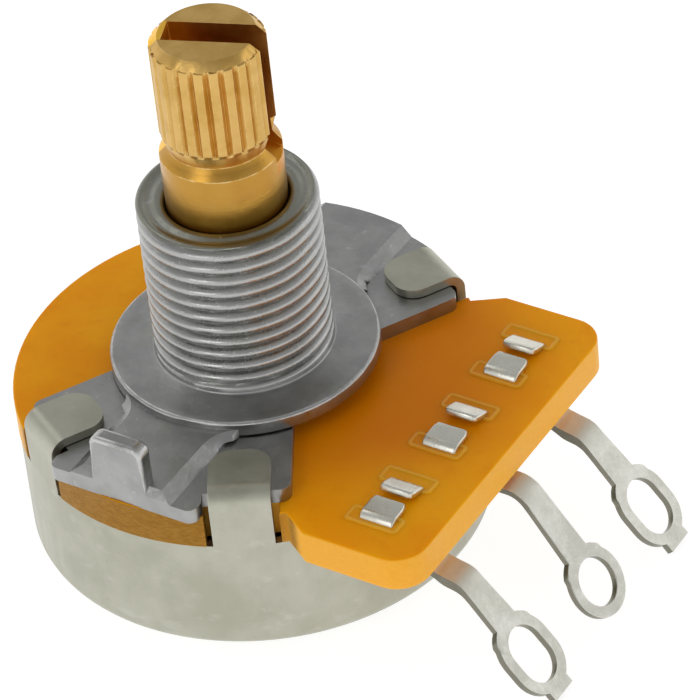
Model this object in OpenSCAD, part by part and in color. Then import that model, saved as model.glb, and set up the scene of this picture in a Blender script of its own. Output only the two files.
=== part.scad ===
// Rotary potentiometer, 24 mm metal-can type: a brass split shaft with a splined tip, a cast zinc
// bushing and plate in one piece, an orange element board with three solder lugs, and a tin-plated
// back cover whose four tabs fold over the plate.
// The origin is the centre of the mounting face on the shaft axis. +Z runs out along the shaft, the
// solder lugs point to -Y and the locating ear stands at -X.

/* [Shaft] */
// Height of the shaft's tip above the mounting face
shaft_reach = 19.6; // [17:0.1:32]
// Diameter over the splines
spline_dia = 6.0; // [5.4:0.05:6.2]
// Depth of the grooves between the splines
spline_depth = 0.3; // [0.15:0.05:0.4]
// Number of splines
spline_count = 24; // [18:1:40]
// Length of the splined tip
spline_len = 5.8; // [4:0.1:7]
// Chamfer at the tip
tip_chamfer = 0.5; // [0.2:0.05:0.6]
// Diameter of the plain journal that turns in the bushing
journal_dia = 6.35; // [6.25:0.01:6.6]
// Diameter of the turned neck below the splines
neck_dia = 5.4; // [4.8:0.05:5.6]
// Length of the turned neck
neck_len = 0.75; // [0.3:0.05:1.2]
// Length of the cone from the neck to the journal
cone_len = 0.55; // [0.4:0.05:1.5]
// Width of the saw cut in the tip
slot_w = 1.6; // [0.8:0.05:2]
// Radius of the saw that makes the cut
saw_r = 8.0; // [6.5:0.1:12]
// Brass left at the blind end of the cut
slot_wall = 0.8; // [0.4:0.05:1.5]
// Direction of the cut's open end, in degrees from +X
slot_turn = -70; // [-180:1:180]

/* [Bushing and plate] */
// Outer diameter of the thread
thread_dia = 9.525; // [9:0.005:10.5]
// Distance between neighbouring threads
thread_pitch = 0.794; // [0.7:0.001:1.1]
// Depth of the thread
thread_depth = 0.47; // [0.3:0.01:0.5]
// Width of the flat crest between two grooves of the thread
thread_land = 0.22; // [0.1:0.01:0.3]
// Height of the plain foot under the thread
thread_foot = 0.3; // [0.2:0.05:0.8]
// Height of the bushing above the mounting face
bushing_len = 9.5; // [7:0.05:10.5]
// Chamfer at the top of the thread
thread_chamfer = 0.2; // [0.1:0.02:0.5]
// Diameter of the collar that bears on the panel
collar_dia = 14.3; // [13:0.05:15]
// Thickness of the collar
collar_t = 0.8; // [0.6:0.05:1]
// Depth of the whole casting below the mounting face
plate_depth = 1.75; // [1.5:0.05:2.5]
// Thickness of the wings under the tabs
wing_t = 0.85; // [0.6:0.05:1.1]
// Drop from the mounting face to the raised bar
bar_drop = 0.4; // [0.2:0.05:0.7]
// Width of the raised bar along its top
bar_w = 4.8; // [4:0.1:6]
// Run of the bar's sloping side
bar_slope = 0.7; // [0.3:0.05:1]
// Distance from the cup's outside in to the plate's ends
plate_inset = 0.05; // [0:0.05:0.3]
// Width of the plate's ends
end_w = 8.8; // [7:0.1:9.2]
// Width of each wing, across its own tab
wing_w = 5.2; // [4.6:0.1:6]
// Radius of the plate's waist under the collar
waist_r = 5.6; // [5.3:0.1:6.5]
// Radius of the fillet between the bar and the collar
bar_fillet = 2.0; // [1:0.1:3]
// Width of the locating ear
ear_w = 3.2; // [2:0.1:4]
// Height of the locating ear above the mounting face
ear_h = 2.1; // [1:0.1:4]
// Thickness of the locating ear
ear_t = 1.0; // [0.6:0.05:1.4]
// Depth of the spigot that centres the element board
spigot_h = 0.9; // [0.5:0.05:1.2]
// Wall of the spigot round the bore
spigot_wall = 1.285; // [1.1:0.005:1.6]

/* [Element board] */
// Thickness of the board
board_t = 2.0; // [1.5:0.05:2.4]
// Overhang of the board's round part past the cup
board_overhang = 0.05; // [0:0.05:0.4]
// Width of the straight part that carries the lugs
board_w = 21.0; // [19:0.1:23]
// Distance from the cup's outside to the board's straight edge
board_shelf = 3.55; // [2.6:0.05:5]
// Radius of the board's two square corners
board_corner = 1.8; // [0.8:0.1:2.4]
// Step in each side where the straight part meets the round part
board_step = 1.0; // [0.6:0.1:1.6]
// Distance from the board's straight edge to the row of clinches
clinch_inset = 3.5; // [2.8:0.1:3.7]
// Thickness of the printed layers
ink_t = 0.05; // [0.03:0.01:0.1]
// Distance from the cup's wall in to the resistive track
track_inset = 1.65; // [1.5:0.05:2]
// Width of the resistive track
track_w = 2.0; // [1.2:0.1:2.4]
// Angle covered by the resistive track
track_sweep = 300; // [270:1:310]

/* [Terminals] */
// Distance between neighbouring lugs
lug_pitch = 6.35; // [5.8:0.05:6.6]
// Thickness of the terminal sheet
lug_t = 0.4; // [0.3:0.02:0.6]
// Width of the straps
lug_w = 1.8; // [1.2:0.1:2.4]
// Slope of the outer lugs below the board, in degrees
lug_slope = 48; // [20:1:70]
// Slope of the centre lug below the board, in degrees
centre_slope = 53; // [20:1:70]
// Distance from the row of clinches to the start of the outer lugs' bends
lug_run = 2.05; // [1.6:0.05:5]
// Distance from the row of clinches to the start of the centre lug's bend
centre_run = 3.35; // [1.6:0.05:5]
// Length from the bend to the middle of each outer eye
lug_len = 6.7; // [4:0.1:9]
// Length from the bend to the middle of the centre eye
centre_len = 5.7; // [4:0.1:9]
// Inner radius of the bend
lug_bend_r = 1.2; // [0.5:0.1:2]
// Radius of the holes in the outer eyes
eye_r = 1.15; // [0.8:0.05:1.4]
// Extra length of the holes in the outer eyes
eye_stretch = 0.9; // [0:0.1:1.4]
// Radius of the hole in the centre eye
centre_eye_r = 1.28; // [0.8:0.02:1.4]
// Width of metal round each eye
eye_wall = 0.8; // [0.5:0.05:1.1]
// Width of the tangs that are clinched over the board
tang_w = 2.3; // [1.5:0.1:2.6]
// Distance from a lug's middle to the outside of each tang
tang_reach = 1.95; // [1.7:0.05:2.2]
// Length of the stub that the carrier strip leaves on each outer eye
nib_len = 0.3; // [0:0.05:0.8]

/* [Back cover] */
// Outer radius of the cup
cup_r = 12.45; // [12.2:0.05:13]
// Thickness of the sheet
cup_t = 0.5; // [0.35:0.05:0.6]
// Depth of the cup below the board
cup_depth = 7.05; // [6.4:0.05:9]
// Outer radius of the cup's bottom edge
cup_edge_r = 0.9; // [0.7:0.05:1.5]
// Angle of each tab from the X axis
tab_angle = 30; // [28:0.5:32]
// Width of the tabs
tab_w = 3.2; // [2.4:0.1:3.6]
// Length of each folded tab, from the cup's outside to its end
tab_fold = 3.65; // [2.4:0.05:4.2]
// Radius of the rounded corners at the end of each tab
tab_end_r = 1.2; // [0.4:0.1:1.2]
// Inner radius of the tab's fold
tab_bend_r = 0.45; // [0.2:0.05:0.6]
// Depth of the opening under the lugs
lug_gap_depth = 1.4; // [1:0.1:2]
// Half of the angle that the opening under the lugs covers
lug_gap_half = 43; // [40:1:44]
// Width of the stop tongue that is bent in from the wall
stop_w = 1.2; // [1:0.1:2.2]
// Height of the window that the stop tongue leaves
stop_window_h = 2.1; // [1.6:0.1:2.4]
// Height of the window above the cup's floor
stop_sill = 1.0; // [0.6:0.1:1.6]

/* [Rotor and contacts] */
// Distance from the track's inside in to the rotor's disc
rotor_inset = 0.7; // [0.4:0.1:1]
// Thickness of the rotor's disc
rotor_t = 1.5; // [1:0.1:1.8]
// Radius of the rotor's hub
hub_r = 4.0; // [3.6:0.05:4.2]
// Radius of the posts that the wiper is staked on
post_r = 0.6; // [0.4:0.05:0.7]
// Turn of the shaft each way from the middle, in degrees
turn_half = 150; // [130:1:160]
// Thickness of the wiper's spring sheet
wiper_t = 0.25; // [0.15:0.01:0.3]
// Width of each wiper finger
finger_w = 0.8; // [0.5:0.05:1]
// Distance from the track's inside in to the collector ring
collector_inset = 1.2; // [1:0.05:1.4]
// Width of the collector ring
collector_w = 1.6; // [1:0.1:1.8]
// Width of the retaining ring's band
clip_w = 0.85; // [0.6:0.05:1]
// Thickness of the retaining ring
clip_t = 0.5; // [0.4:0.02:0.6]
// Width of each prong of the retaining ring
prong_w = 1.4; // [0.8:0.1:2]
// Width of the spring washer's band
washer_w = 0.95; // [0.6:0.05:1]
// Thickness of the spring washer's sheet
washer_t = 0.2; // [0.1:0.01:0.25]
// Height of the dished spring washer
washer_h = 0.33; // [0.25:0.01:0.5]

/* [Fits] */
// Gap all round the shaft in its bushing
running_gap = 0.04; // [0.02:0.005:0.08]
// Gap round pieces that are pressed or staked together
seat_gap = 0.02; // [0.01:0.005:0.04]
// Gap beside the tabs and tangs in their notches and slots
slot_gap = 0.35; // [0.3:0.05:0.5]
// Gap behind the tabs in their notches
notch_gap = 0.45; // [0.3:0.05:0.6]
// Gap under each folded tab
tab_gap = 0.05; // [0:0.01:0.15]
// Gap round the spigot in the board's hole
spigot_gap = 0.1; // [0.05:0.01:0.2]

/* [Hidden] */
$fn = 96;

brass = "#c8a050";
zinc = "#8c8f94";
tin = "#b0b0a0";
phenolic = "#df9114";
carbon = "#1c1c1e";
silver_ink = "#b9b9b4";
lug_tin = "#c6c6c0";
rotor_brown = "#3b2a20";
spring_bronze = "#b98a4e";
spring_steel = "#8f9498";

// Overlap that joins the solids of one piece
bite = 0.1;

cup_inner_r = cup_r - cup_t;
half_len = cup_r - plate_inset;
notch_x = cup_inner_r - notch_gap;
notch_half = tab_w / 2 + slot_gap;
board_r = cup_r + board_overhang;
board_reach = cup_r + board_shelf;
clinch_y = board_reach - clinch_inset;
track_out = cup_inner_r - track_inset;
track_in = track_out - track_w;
rotor_r = track_in - rotor_inset;
collector_r = track_in - collector_inset - collector_w / 2;
tab_end = cup_r - tab_fold;

journal_r = journal_dia / 2;
bore_r = journal_r + running_gap;
spigot_r = bore_r + spigot_wall;
spline_r = spline_dia / 2;
spline_low = shaft_reach - spline_len;
cone_top = spline_low - neck_len;
cone_low = cone_top - cone_len;
thread_r = thread_dia / 2;
collar_r = collar_dia / 2;
wing_top = -plate_depth + wing_t;
board_top = -plate_depth;
board_low = board_top - board_t;
spigot_low = -plate_depth - spigot_h;

clip_top = spigot_low - washer_h - seat_gap;
clip_low = clip_top - clip_t;
groove_r = journal_r - 0.75;
land_r = groove_r + 0.5;
land_low = clip_low - 0.55;
tail_r = land_r - 0.6;
tail_flat = tail_r - 0.5;

rotor_top = land_low;
disc_top = board_low - 0.95;
disc_low = disc_top - rotor_t;
tail_low = disc_low - seat_gap;
head_r = tail_r + 0.45;
head_h = 0.55;
post_x = (rotor_r + hub_r) / 2;

lug_top = board_low - ink_t;
lug_low = lug_top - lug_t;

cup_low = board_low - cup_depth;
window_low = cup_low + cup_t + stop_sill;
stop_low = window_low + stop_window_h;
stop_r = cup_inner_r - stop_window_h;
stop_touch_gap = 0.15;
stop_half = 180 - turn_half - atan(stop_w / 2 / stop_r) - stop_touch_gap;
skirt_r = cup_inner_r - 0.65;
skirt_in = stop_r - 0.4;
skirt_low = stop_low - 0.6;

// Outlines

// A flat outline from x0 to x1 and y0 to y1
module box2d(x0, x1, y0, y1) {
    translate([x0, y0]) square([x1 - x0, y1 - y0]);
}

// A slice of a disc between two angles, less than half a turn wide
module wedge2d(r, a0, a1) {
    middle = (a0 + a1) / 2;
    far = r / cos((a1 - a0) / 4);
    polygon([[0, 0], far * [cos(a0), sin(a0)], far * [cos((a0 + middle) / 2), sin((a0 + middle) / 2)],
             far * [cos(middle), sin(middle)], far * [cos((a1 + middle) / 2), sin((a1 + middle) / 2)],
             far * [cos(a1), sin(a1)]]);
}

// A flat ring
module ring2d(r_out, r_in) {
    difference() {
        circle(r = r_out);
        circle(r = r_in);
    }
}

// A rectangle from x0 to x1 and -half to half whose corners at the x1 end are rounded
module tongue2d(x0, x1, half, corner) {
    box2d(x0, x1 - corner, -half, half);
    box2d(x0, x1, -half + corner, half - corner);
    for (y = [-1, 1])
        translate([x1 - corner, y * (half - corner)]) circle(r = corner);
}

// Places its children at the four tabs, with +X along each tab and +Y away from the X axis
module at_tabs() {
    for (side = [0, 1], end = [0, 1])
        mirror([0, side, 0]) mirror([end, 0, 0]) rotate(tab_angle) children();
}

// Places its children at the three terminals
module at_terminals() {
    for (i = [-1, 0, 1])
        translate([i * lug_pitch, -clinch_y, 0]) children();
}

// A round bar about Z between two heights
module bar(r, z0, z1) {
    translate([0, 0, z0]) cylinder(r = r, h = z1 - z0);
}

// A round bar about Z whose radius runs from r0 at z0 to r1 at z1
module taper(r0, r1, z0, z1) {
    translate([0, 0, z0]) cylinder(r1 = r0, r2 = r1, h = z1 - z0);
}

// Shaft

// The splined section: a circle with a V groove between each two splines
module spline_outline() {
    groove_share = 0.29;
    groove_half = groove_share * 360 / spline_count;
    mouth = spline_r + bite;
    difference() {
        circle(r = spline_r);
        for (i = [0 : spline_count - 1])
            rotate(i * 360 / spline_count)
                polygon([[spline_r - spline_depth, 0], mouth * [cos(groove_half), sin(groove_half)],
                         mouth * [cos(groove_half), -sin(groove_half)]]);
    }
}

// The splined tip, chamfered at its top and relieved at its foot
module splined_tip() {
    foot = 0.2;
    over = spline_r + seat_gap;
    intersection() {
        translate([0, 0, spline_low]) linear_extrude(spline_len) spline_outline();
        union() {
            taper(neck_dia / 2, over, spline_low, spline_low + foot);
            bar(over, spline_low + foot, shaft_reach - tip_chamfer);
            taper(over, over - tip_chamfer, shaft_reach - tip_chamfer, shaft_reach);
        }
    }
}

// The cut of a saw disc that enters from one side and stops short of the other
module saw_cut() {
    rotate(slot_turn)
        translate([saw_r - spline_r + slot_wall, 0, shaft_reach])
            rotate([90, 0, 0]) cylinder(r = saw_r, h = slot_w, center = true);
}

// The flattened tail that drives the rotor, with the head that is staked over it
module shaft_tail() {
    intersection() {
        bar(tail_r, tail_low - bite, land_low + bite);
        translate([-tail_flat, -tail_r, tail_low - bite])
            cube([2 * tail_flat, 2 * tail_r, land_low - tail_low + 2 * bite]);
    }
    taper(head_r - head_h / 2, head_r, tail_low - head_h, tail_low);
}

module shaft() {
    color(brass) difference() {
        union() {
            splined_tip();
            bar(neck_dia / 2, cone_top, spline_low);
            taper(journal_r, neck_dia / 2, cone_low, cone_top);
            bar(journal_r, clip_top + seat_gap, cone_low);
            bar(groove_r, clip_low - seat_gap, clip_top + seat_gap);
            bar(land_r, land_low, clip_low - seat_gap);
            shaft_tail();
        }
        saw_cut();
    }
}

// Bushing and plate

// The plate seen from above: a straight end at the ear, a round one and a wing under each tab
module plate_outline() {
    end_corner = 0.5;
    half = end_w / 2;
    circle(r = waist_r);
    difference() {
        union() {
            mirror([1, 0]) tongue2d(0, half_len, half, end_corner);
            intersection() {
                box2d(0, half_len, -half, half);
                circle(r = half_len);
            }
        }
        at_tabs() box2d(notch_x, half_len + bite, -notch_half, notch_half);
    }
    at_tabs() wing_outline();
}

// One wing, square towards the bar and rounded at its free corner
module wing_outline() {
    corner = 0.6;
    half = wing_w / 2;
    box2d(0, notch_x, -half, half - corner);
    box2d(0, notch_x - corner, -half, half);
    translate([notch_x - corner, half - corner]) circle(r = corner);
}

// The raised bar, with sloping sides, a straight end at the ear and a round end opposite
module raised_bar() {
    top = -bar_drop;
    low = wing_top - bite;
    ease = 0.4;
    half = bar_w / 2;
    foot = half + bar_slope * (top - low) / (top - wing_top);
    intersection() {
        rotate([90, 0, 90])
            translate([0, 0, -half_len]) linear_extrude(2 * half_len)
                polygon([[-foot, low], [-half, top], [half, top], [foot, low]]);
        rotate([90, 0, 0])
            translate([0, 0, -foot]) linear_extrude(2 * foot)
                polygon([[-half_len, low], [-half_len, top - ease], [-half_len + ease, top],
                         [half_len, top], [half_len, low]]);
        union() {
            bar(half_len, low - bite, top + bite);
            translate([-half_len - 1, -foot, low - bite])
                cube([half_len + 1, 2 * foot, top - low + 2 * bite]);
        }
    }
}

// The sweep that blends the bar into the collar, in all four corners
module bar_blends() {
    centre_y = bar_w / 2 + bar_fillet;
    centre_x = sqrt(pow(collar_r + bar_fillet, 2) - pow(centre_y, 2));
    top = -bar_drop;
    low = wing_top - bite;
    slope = bar_slope * (top - low) / (top - wing_top);
    for (x = [0, 1], y = [0, 1])
        mirror([x, 0, 0]) mirror([0, y, 0]) difference() {
            translate([0, 0, low]) linear_extrude(top - low)
                polygon([[0, 0], [centre_x, 0], [centre_x, centre_y]]);
            translate([centre_x, centre_y, 0])
                taper(bar_fillet - slope, bar_fillet, low - 0.01, top + 0.01);
        }
}

// The ear that keeps the body from turning in the panel
module locating_ear() {
    half = ear_w / 2;
    corner = 0.35;
    translate([-half_len, 0, 0]) rotate([90, 0, 90]) linear_extrude(ear_t)
        polygon([[-half, wing_top - bite], [-half, ear_h - corner], [-half + corner, ear_h],
                 [half - corner, ear_h], [half, ear_h - corner], [half, wing_top - bite]]);
}

// The thread, drawn as a row of V grooves with a narrow land between each two
module thread_grooves() {
    half = (thread_pitch - thread_land) / 2 * (1 + bite / thread_depth);
    first = thread_foot + thread_pitch / 2;
    last = bushing_len - thread_chamfer - thread_pitch / 2;
    rotate_extrude()
        for (z = [first : thread_pitch : last])
            polygon([[thread_r - thread_depth, z], [thread_r + bite, z - half],
                     [thread_r + bite, z + half]]);
}

// The threaded shank and the collar
module shank() {
    edge = 0.12;
    bar(thread_r, -collar_t, bushing_len - thread_chamfer);
    taper(thread_r, thread_r - thread_chamfer, bushing_len - thread_chamfer, bushing_len);
    bar(collar_r, -collar_t, -edge);
    taper(collar_r, collar_r - edge, -edge, 0);
}

module bushing_plate() {
    mouth = 0.45;
    color(zinc) difference() {
        union() {
            shank();
            translate([0, 0, -plate_depth]) linear_extrude(wing_t) plate_outline();
            bar(waist_r, -plate_depth, -collar_t + bite);
            raised_bar();
            bar_blends();
            locating_ear();
            bar(spigot_r, spigot_low, -plate_depth + bite);
        }
        thread_grooves();
        bar(bore_r, spigot_low - 1, bushing_len + 1);
        taper(bore_r, bore_r + mouth + bite, bushing_len - mouth, bushing_len + bite);
    }
}

// Element board

// The straight part that carries the lugs, stepped in where it meets the round part
module board_straight_part() {
    slope = 1.6;
    half = board_w / 2;
    into = 1.3 * board_step;
    step_y = slope * board_step + sqrt(pow(board_r, 2) - pow(half - board_step, 2));
    corner_x = half - board_corner;
    corner_y = -board_reach + board_corner;
    polygon([[-half, -step_y], [-half, corner_y], [-corner_x, corner_y], [-corner_x, -board_reach],
             [corner_x, -board_reach], [corner_x, corner_y], [half, corner_y], [half, -step_y],
             [half - into, -step_y + slope * into], [-half + into, -step_y + slope * into]]);
    for (x = [-1, 1])
        translate([x * corner_x, corner_y]) circle(r = board_corner);
}

// The two slots of one terminal
module tang_slots() {
    outer = tang_reach + 0.1;
    inner = tang_reach - lug_t - 0.2;
    half = tang_w / 2 + slot_gap;
    box2d(inner, outer, -half, half);
    box2d(-outer, -inner, -half, half);
}

module board_outline() {
    difference() {
        union() {
            circle(r = board_r);
            board_straight_part();
        }
        circle(r = spigot_r + spigot_gap);
        at_tabs() box2d(notch_x, board_r + 1, -notch_half, notch_half);
        at_terminals() tang_slots();
    }
}

module element_board() {
    color(phenolic) translate([0, 0, board_low]) linear_extrude(board_t) board_outline();
}

module track_outline() {
    gap_half = (360 - track_sweep) / 2;
    difference() {
        ring2d(track_out, track_in);
        wedge2d(2 * track_out, 270 - gap_half, 270 + gap_half);
    }
}

module resistive_track() {
    color(carbon) translate([0, 0, lug_top]) linear_extrude(ink_t) track_outline();
}

// One silver pad, from the end of the track out under the right-hand terminal
module pad_right() {
    start = 270 + (360 - track_sweep) / 2;
    finish = start - 10;
    low_r = track_in - 0.5;
    half = tang_reach + 0.1;
    side = tang_w / 2;
    difference() {
        polygon([low_r * [cos(start), sin(start)], low_r * [cos(finish), sin(finish)],
                 track_out * [cos(finish), sin(finish)],
                 [lug_pitch - half, -clinch_y + side], [lug_pitch - half, -clinch_y - side],
                 [lug_pitch + half, -clinch_y - side], [lug_pitch + half, -clinch_y + side],
                 track_out * [cos(start), sin(start)]]);
        circle(r = track_in);
        at_terminals() tang_slots();
    }
}

module end_pad_right() {
    color(silver_ink) translate([0, 0, lug_top]) linear_extrude(ink_t) pad_right();
}

module end_pad_left() {
    mirror([1, 0, 0]) end_pad_right();
}

// Terminals

// One tang: it rises through the board and curls inward by the given angle
module tang(curl) {
    reach = 1.15;
    inner_r = 0.15;
    outer_r = inner_r + lug_t;
    axis_x = tang_reach - outer_r;
    axis_z = board_top - inner_r;
    translate([0, tang_w / 2, 0]) rotate([90, 0, 0]) linear_extrude(tang_w) {
        box2d(tang_reach - lug_t, tang_reach, lug_low, axis_z);
        translate([axis_x, axis_z]) {
            intersection() {
                ring2d(outer_r, inner_r);
                wedge2d(2 * outer_r, 0, curl);
            }
            rotate(curl) box2d(inner_r, outer_r, 0, reach);
        }
    }
}

// The flat foot under the board, its two clinched tangs and the strap up to the bend
module terminal_foot(run) {
    lying = 90;
    leaning = 60;
    half = tang_w / 2;
    translate([0, 0, lug_low]) linear_extrude(lug_t) {
        box2d(-tang_reach, tang_reach, -half, half);
        box2d(-lug_w / 2, lug_w / 2, -run, 0);
    }
    mirror([1, 0, 0]) tang(lying);
    tang(leaning);
}

// A flat eye: a hole of the given radius and stretch, metal round it and a strap that leads to it
module eye_outline(hole_r, stretch, strap) {
    outer_r = hole_r + eye_wall;
    lap = 0.02;
    difference() {
        union() {
            for (y = [-1, 1])
                translate([0, y * stretch / 2]) circle(r = outer_r);
            if (stretch > 0)
                box2d(-outer_r, outer_r, -stretch / 2, stretch / 2);
            box2d(-lug_w / 2, lug_w / 2, 0, strap + lap);
        }
        for (y = [-1, 1])
            translate([0, y * stretch / 2]) circle(r = hole_r);
        if (stretch > 0)
            box2d(-hole_r, hole_r, -stretch / 2, stretch / 2);
    }
}

// The bend, run away from the clinches, and the sloping part with its eye; nib adds the stub
module terminal_lug(run, slope, strap, hole_r, stretch, nib) {
    outer_r = lug_bend_r + lug_t;
    half = lug_w / 2;
    ring_end = stretch / 2 + hole_r + eye_wall;
    translate([0, -run, lug_low - lug_bend_r]) {
        rotate([90, 0, -90]) translate([0, 0, -half]) linear_extrude(lug_w) intersection() {
            ring2d(outer_r, lug_bend_r);
            wedge2d(2 * outer_r, 90 - slope, 90);
        }
        rotate([slope, 0, 0]) translate([0, -strap, lug_bend_r]) linear_extrude(lug_t) {
            eye_outline(hole_r, stretch, strap);
            if (nib > 0)
                box2d(-half, half, -ring_end - nib, -ring_end + eye_wall / 2);
        }
    }
}

module outer_terminal() {
    terminal_foot(lug_run);
    terminal_lug(lug_run, lug_slope, lug_len, eye_r, eye_stretch, nib_len);
}

module terminal_left() {
    color(lug_tin) translate([-lug_pitch, -clinch_y, 0]) outer_terminal();
}

module terminal_right() {
    color(lug_tin) translate([lug_pitch, -clinch_y, 0]) outer_terminal();
}

// The centre terminal runs inward between the track's ends to the collector ring
module terminal_centre() {
    color(lug_tin) {
        translate([0, -clinch_y, 0]) {
            terminal_foot(centre_run);
            terminal_lug(centre_run, centre_slope, centre_len, centre_eye_r, 0, 0);
        }
        translate([0, 0, lug_low]) linear_extrude(lug_t) {
            ring2d(collector_r + collector_w / 2, collector_r - collector_w / 2);
            box2d(-lug_w / 2, lug_w / 2, -clinch_y + tang_w / 4, -collector_r);
        }
    }
}

// Rotor and contacts

// The flattened hole that the shaft's tail drives
module tail_hole() {
    flat = tail_flat + seat_gap;
    intersection() {
        bar(tail_r + seat_gap, disc_low - 1, rotor_top + 1);
        translate([-flat, -tail_r - 1, disc_low - 1])
            cube([2 * flat, 2 * tail_r + 2, rotor_top - disc_low + 2]);
    }
}

// The segment that meets the cover's stop tongue, joined to the disc by a thinner web
module stop_segment() {
    step = 0.2;
    top = disc_top - step;
    web_low = disc_low + step;
    start = 90 - stop_half;
    finish = 90 + stop_half;
    translate([0, 0, web_low]) linear_extrude(top - web_low) intersection() {
        ring2d(skirt_r, rotor_r - 0.5);
        wedge2d(2 * skirt_r, start, finish);
    }
    translate([0, 0, skirt_low]) linear_extrude(top - skirt_low) intersection() {
        ring2d(skirt_r, skirt_in);
        wedge2d(2 * skirt_r, start, finish);
    }
}

// A post for the wiper, with the head that is formed over it
module staking_post() {
    head_low = disc_top + wiper_t + seat_gap;
    bar(post_r, disc_top - bite, head_low);
    taper(1.5 * post_r, post_r, head_low, head_low + post_r / 4);
}

module rotor() {
    color(rotor_brown) difference() {
        union() {
            bar(rotor_r, disc_low, disc_top);
            bar(hub_r, disc_low, rotor_top);
            stop_segment();
            for (x = [-1, 1])
                translate([x * post_x, 0, 0]) staking_post();
        }
        tail_hole();
    }
}

// A spring finger that starts inside the wiper's ring at r0, climbs to its contact and turns down
module finger(r0, contact, rise) {
    flat = 0.4;
    tip = 0.7;
    dip = 0.25;
    inset = 0.03;
    low = disc_top;
    rotate([90, 0, 0]) translate([0, 0, -finger_w / 2]) linear_extrude(finger_w)
        polygon([[r0, low + inset], [r0 + flat, low + inset], [contact, low + rise - wiper_t],
                 [contact + tip, low + rise - wiper_t - dip], [contact + tip, low + rise - dip],
                 [contact, low + rise], [r0 + flat, low + wiper_t - inset],
                 [r0, low + wiper_t - inset]]);
}

// The wiper: a ring staked to the rotor, with two fingers on the track and two on the collector
module wiper() {
    track_spread = 7;
    collector_spread = 11;
    ring_in = hub_r + seat_gap;
    ring_out = rotor_r - bite;
    root = 0.6;
    window_in = ring_in + root + 0.5;
    window_half = finger_w / 2 + 0.25;
    track_rise = lug_top - seat_gap - disc_top;
    collector_rise = lug_low - seat_gap - disc_top;
    color(spring_bronze) {
        translate([0, 0, disc_top]) linear_extrude(wiper_t) difference() {
            ring2d(ring_out, ring_in);
            for (x = [-1, 1])
                translate([x * post_x, 0]) circle(r = post_r + seat_gap);
            for (turn = [-collector_spread, collector_spread])
                rotate(270 + turn) box2d(window_in, ring_out - 0.2, -window_half, window_half);
        }
        for (turn = [-track_spread, track_spread])
            rotate(90 + turn) finger(ring_out - root, (track_in + track_out) / 2, track_rise);
        for (turn = [-collector_spread, collector_spread])
            rotate(270 + turn) finger(ring_in + root, collector_r - 0.3, collector_rise);
    }
}

// A thin dished washer that loads the shaft
module spring_washer() {
    washer_in = journal_r + running_gap + 0.1;
    washer_out = washer_in + washer_w;
    color(spring_steel) rotate_extrude()
        polygon([[washer_in, spigot_low], [washer_in, spigot_low - washer_t],
                 [washer_out, spigot_low - washer_h], [washer_out, spigot_low - washer_h + washer_t]]);
}

// The snap ring in the shaft's groove: an open ring with three prongs
module retaining_ring() {
    ring_in = journal_r + 0.12;
    ring_out = ring_in + clip_w;
    mouth_half = 1.5;
    color(spring_steel) translate([0, 0, clip_low]) linear_extrude(clip_t) {
        difference() {
            ring2d(ring_out, ring_in);
            box2d(-mouth_half, mouth_half, -ring_out - 1, 0);
        }
        for (turn = [-35, 90, 215])
            rotate(turn) box2d(groove_r + seat_gap, ring_in + bite, -prong_w / 2, prong_w / 2);
    }
}

// Back cover

// Outline of the cup's wall and floor, from the axis outward
module cup_section() {
    inner_edge_r = cup_edge_r - cup_t;
    floor_top = cup_low + cup_t;
    difference() {
        union() {
            box2d(0, cup_r - cup_edge_r, cup_low, board_low);
            box2d(0, cup_r, cup_low + cup_edge_r, board_low);
            translate([cup_r - cup_edge_r, cup_low + cup_edge_r]) circle(r = cup_edge_r);
        }
        box2d(-1, cup_inner_r - inner_edge_r, floor_top, board_low + 1);
        box2d(-1, cup_inner_r, floor_top + inner_edge_r, board_low + 1);
        translate([cup_inner_r - inner_edge_r, floor_top + inner_edge_r]) circle(r = inner_edge_r);
    }
}

// One tab: it rises flat out of the wall, folds inward and lies on the wing
module tab() {
    outer_r = tab_bend_r + cup_t;
    wall = sqrt(pow(cup_r, 2) - pow(tab_w / 2, 2)) + 0.03;
    under = wing_top + tab_gap;
    fold_x = wall - outer_r;
    fold_z = under - tab_bend_r;
    half = tab_w / 2;
    intersection() {
        translate([0, half, 0]) rotate([90, 0, 0]) linear_extrude(tab_w) {
            box2d(wall - cup_t, wall, board_low - cup_t, fold_z + 0.01);
            box2d(tab_end, fold_x + 0.01, under, under + cup_t);
            translate([fold_x, fold_z]) intersection() {
                ring2d(outer_r, tab_bend_r);
                square(2 * outer_r);
            }
        }
        translate([0, 0, board_low - 1]) linear_extrude(board_t + plate_depth + 2)
            mirror([1, 0]) tongue2d(-cup_r - 1, -tab_end, half, tab_end_r);
    }
}

// The tongue bent in from the wall under the lugs, which stops the rotor
module stop_tongue() {
    translate([-stop_w / 2, -cup_inner_r - bite, stop_low])
        cube([stop_w, cup_inner_r + bite - stop_r, cup_t]);
}

module back_cover() {
    color(tin) {
        difference() {
            rotate_extrude() cup_section();
            translate([0, 0, board_low - lug_gap_depth]) linear_extrude(lug_gap_depth + 1)
                wedge2d(cup_r + 1, 270 - lug_gap_half, 270 + lug_gap_half);
            translate([-stop_w / 2, -cup_r - 1, window_low])
                cube([stop_w, cup_t + 2, stop_window_h]);
        }
        at_tabs() tab();
        stop_tongue();
    }
}

shaft();
bushing_plate();
element_board();
resistive_track();
end_pad_left();
end_pad_right();
terminal_left();
terminal_centre();
terminal_right();
rotor();
wiper();
spring_washer();
retaining_ring();
back_cover();
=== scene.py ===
import math

import bmesh
import bpy
from mathutils import Matrix, Vector


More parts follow.
